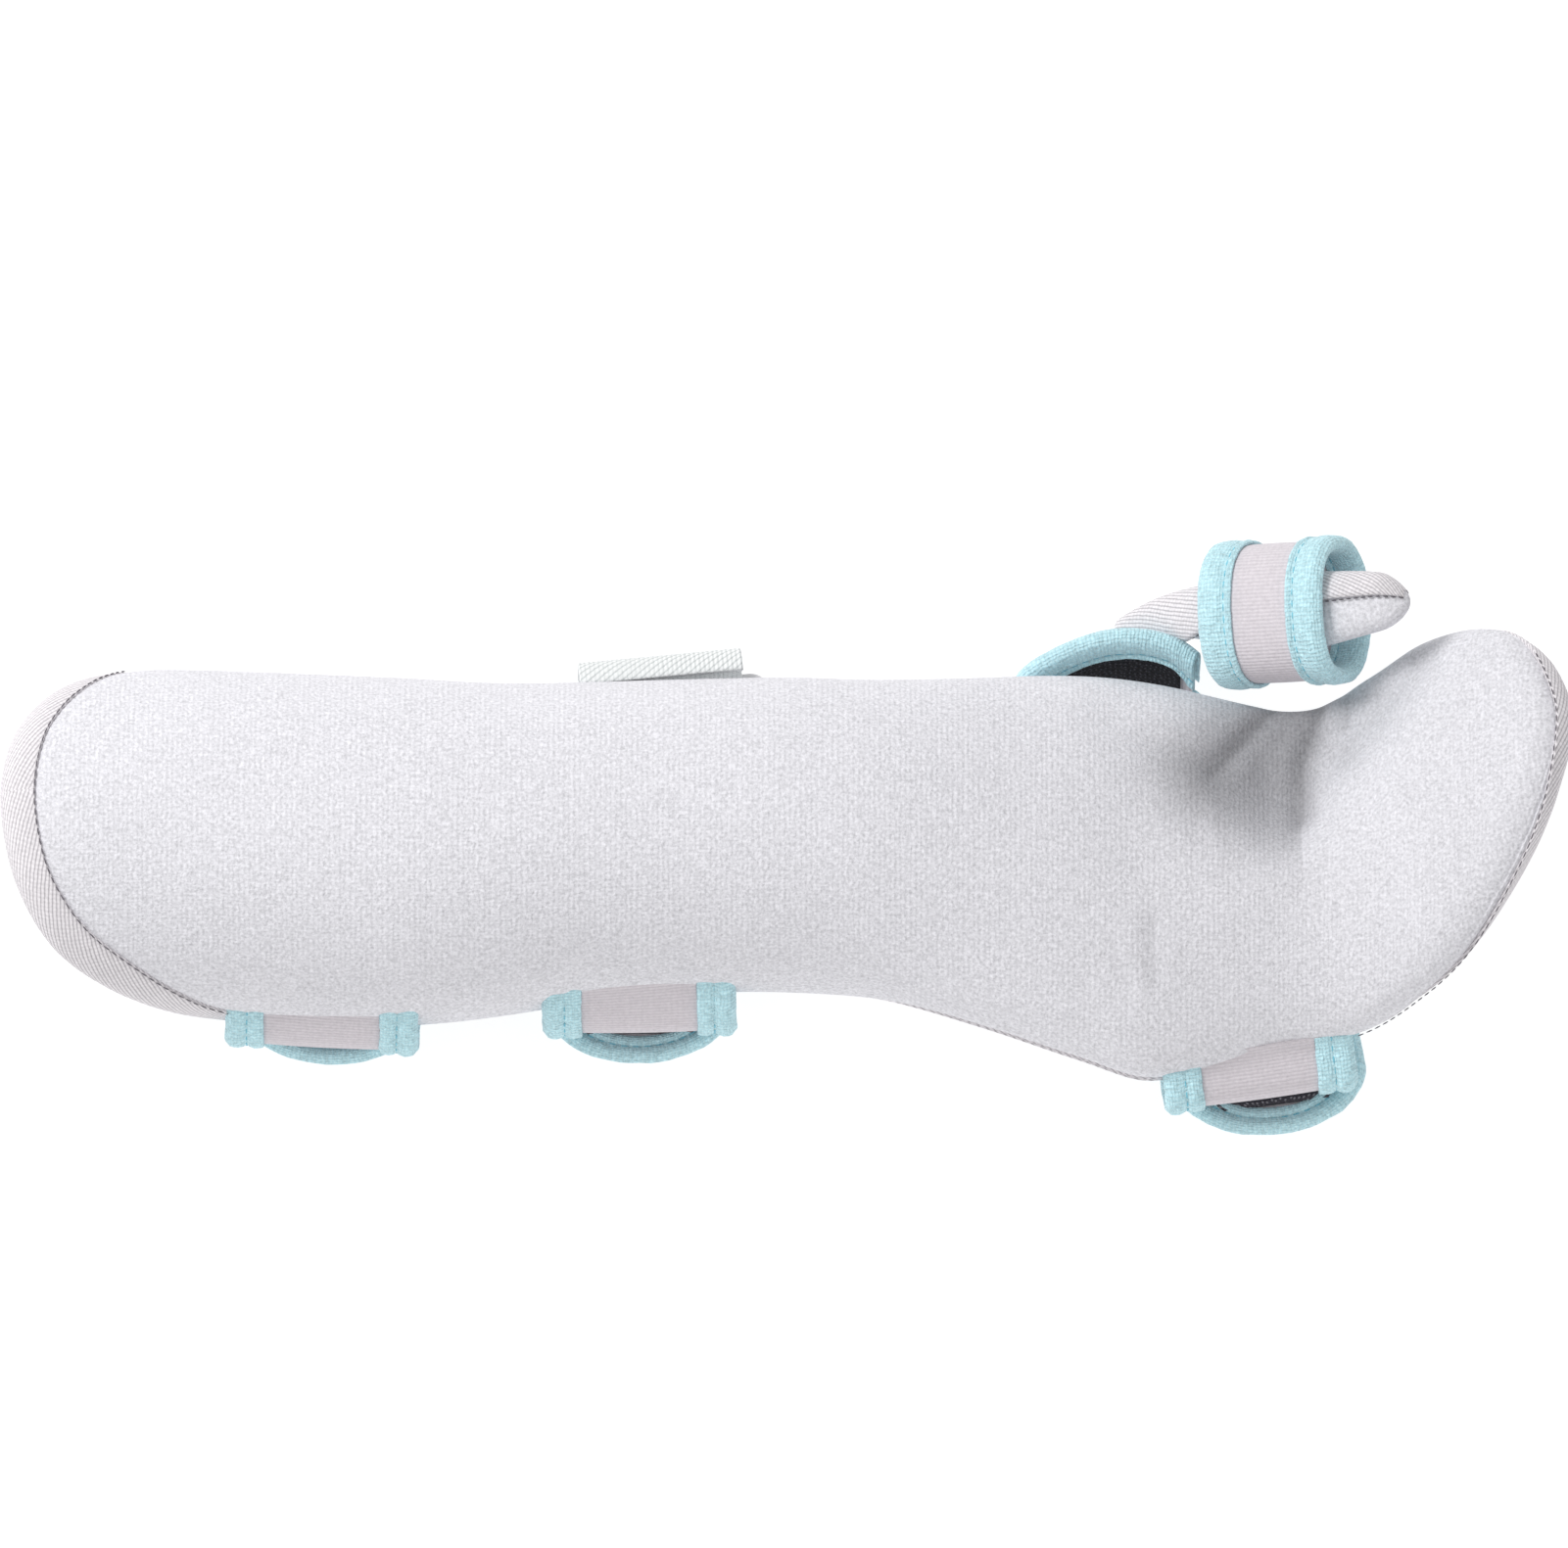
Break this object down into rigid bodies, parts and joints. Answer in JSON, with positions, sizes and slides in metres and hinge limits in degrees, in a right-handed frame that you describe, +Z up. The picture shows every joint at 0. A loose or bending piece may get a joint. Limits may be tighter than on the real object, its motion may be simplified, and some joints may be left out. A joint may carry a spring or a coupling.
{
  "type": "wrist fracture brace",
  "caption": "Padded wrist and hand brace: bound trough for forearm, palm and fingers, strap-closed below, with a padded thumb stay held in its own band.",
  "frame": {"origin": "under the middle of the brace's box, on the surface it rests on", "axes": "+X from the elbow end to the finger end, +Y the thumb side, +Z up; the open side faces down"},
  "size_m": [0.4012, 0.149, 0.068],
  "materials": {
    "knit_fabric": "matt brushed knit over foam",
    "twill_tape": "matt woven twill",
    "strap_fabric": "matt looped strap cloth",
    "blue_binding": "soft napped binding tape",
    "hook_fabric": "dark hook tape",
    "black_hook": "black hook tape",
    "ribbed_webbing": "ribbed webbing",
    "white_plastic": "satin moulded plastic"
  },
  "bodies": {
    "root": {"shell_pad": "knit_fabric", "shell_binding": "twill_tape", "forearm_ring_loop": "ribbed_webbing", "forearm_ring": "white_plastic", "forearm_strap": "strap_fabric", "forearm_strap_binding": "blue_binding", "forearm_strap_hook": "hook_fabric", "wrist_ring_loop": "ribbed_webbing", "wrist_ring": "white_plastic", "wrist_strap": "strap_fabric", "wrist_strap_binding": "blue_binding", "wrist_strap_hook": "hook_fabric", "hand_ring_loop": "ribbed_webbing", "hand_ring": "white_plastic", "hand_strap": "strap_fabric", "hand_strap_binding": "blue_binding", "hand_strap_hook": "hook_fabric", "thumb_pad": "knit_fabric", "thumb_binding": "twill_tape", "thumb_strap": "strap_fabric", "thumb_strap_edge_inner": "blue_binding", "thumb_strap_edge_outer": "blue_binding", "thumb_tab": "strap_fabric", "thumb_tab_binding": "blue_binding", "thumb_tab_hook": "black_hook"}
  },
  "joints": []
}
